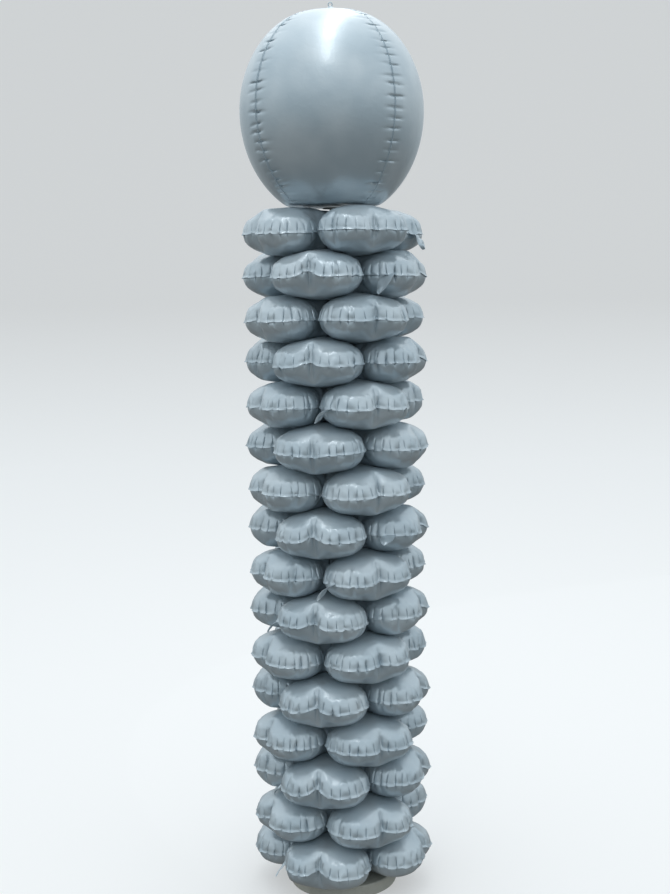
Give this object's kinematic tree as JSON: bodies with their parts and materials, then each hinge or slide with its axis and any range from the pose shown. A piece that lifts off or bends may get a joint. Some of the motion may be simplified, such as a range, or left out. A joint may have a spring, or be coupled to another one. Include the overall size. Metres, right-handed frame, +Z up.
{
  "type": "foil balloon column",
  "caption": "Tall column of four-leaf foil balloons stacked and nested round a pole, with a foil globe on top and a low round base.",
  "frame": {"origin": "centre of the base's flat underside, on the floor", "axes": "+Z up along the pole; -Y is the front, which a leaf of the lowest layer points to"},
  "size_m": [0.5152, 0.5152, 2.5199],
  "materials": {
    "satin_foil": "satin",
    "base_plastic": "matte",
    "fitting_plastic": "satin",
    "pole_aluminium": "satin"
  },
  "bodies": {
    "root": {"base_body": "base_plastic", "base_filling_cap": "base_plastic", "pole_socket": "fitting_plastic", "pole_section_1": "pole_aluminium", "pole_section_2": "pole_aluminium", "pole_section_3": "pole_aluminium", "pole_section_4": "pole_aluminium", "globe_seat": "fitting_plastic", "clover_01": "satin_foil", "clover_02": "satin_foil", "clover_03": "satin_foil", "clover_04": "satin_foil", "clover_05": "satin_foil", "clover_06": "satin_foil", "clover_07": "satin_foil", "clover_08": "satin_foil", "clover_09": "satin_foil", "clover_10": "satin_foil", "clover_11": "satin_foil", "clover_12": "satin_foil", "clover_13": "satin_foil", "clover_14": "satin_foil", "clover_15": "satin_foil", "clover_16": "satin_foil", "globe": "satin_foil", "globe_top_tab": "satin_foil"}
  },
  "joints": []
}
